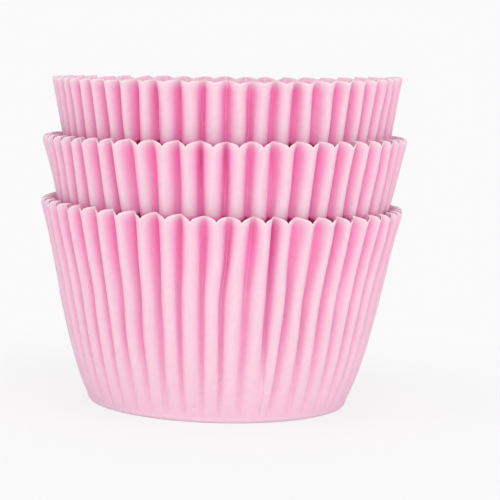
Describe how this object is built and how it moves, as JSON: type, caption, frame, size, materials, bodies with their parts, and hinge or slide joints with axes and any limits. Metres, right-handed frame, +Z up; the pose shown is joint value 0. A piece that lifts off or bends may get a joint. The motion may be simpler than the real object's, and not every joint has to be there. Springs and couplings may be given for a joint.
{
  "type": "stack of cupcake liners",
  "caption": "Pleated paper cupcake liners nested in a stack, each a fluted cup with a flat round floor that flares to a scalloped rim and holds a cake while it bakes",
  "frame": {"origin": "centre of the underside of the lower liner's floor", "axes": "+Z up through the stack, -Y towards the viewer of the picture, +X to that viewer's right"},
  "size_m": [0.0714, 0.0715, 0.0642],
  "materials": {
    "pink_paper": "matt pink baking paper, pressed into pleats"
  },
  "bodies": {
    "root": {"lower_liner": "pink_paper", "middle_liner": "pink_paper", "upper_liner": "pink_paper"}
  },
  "joints": []
}
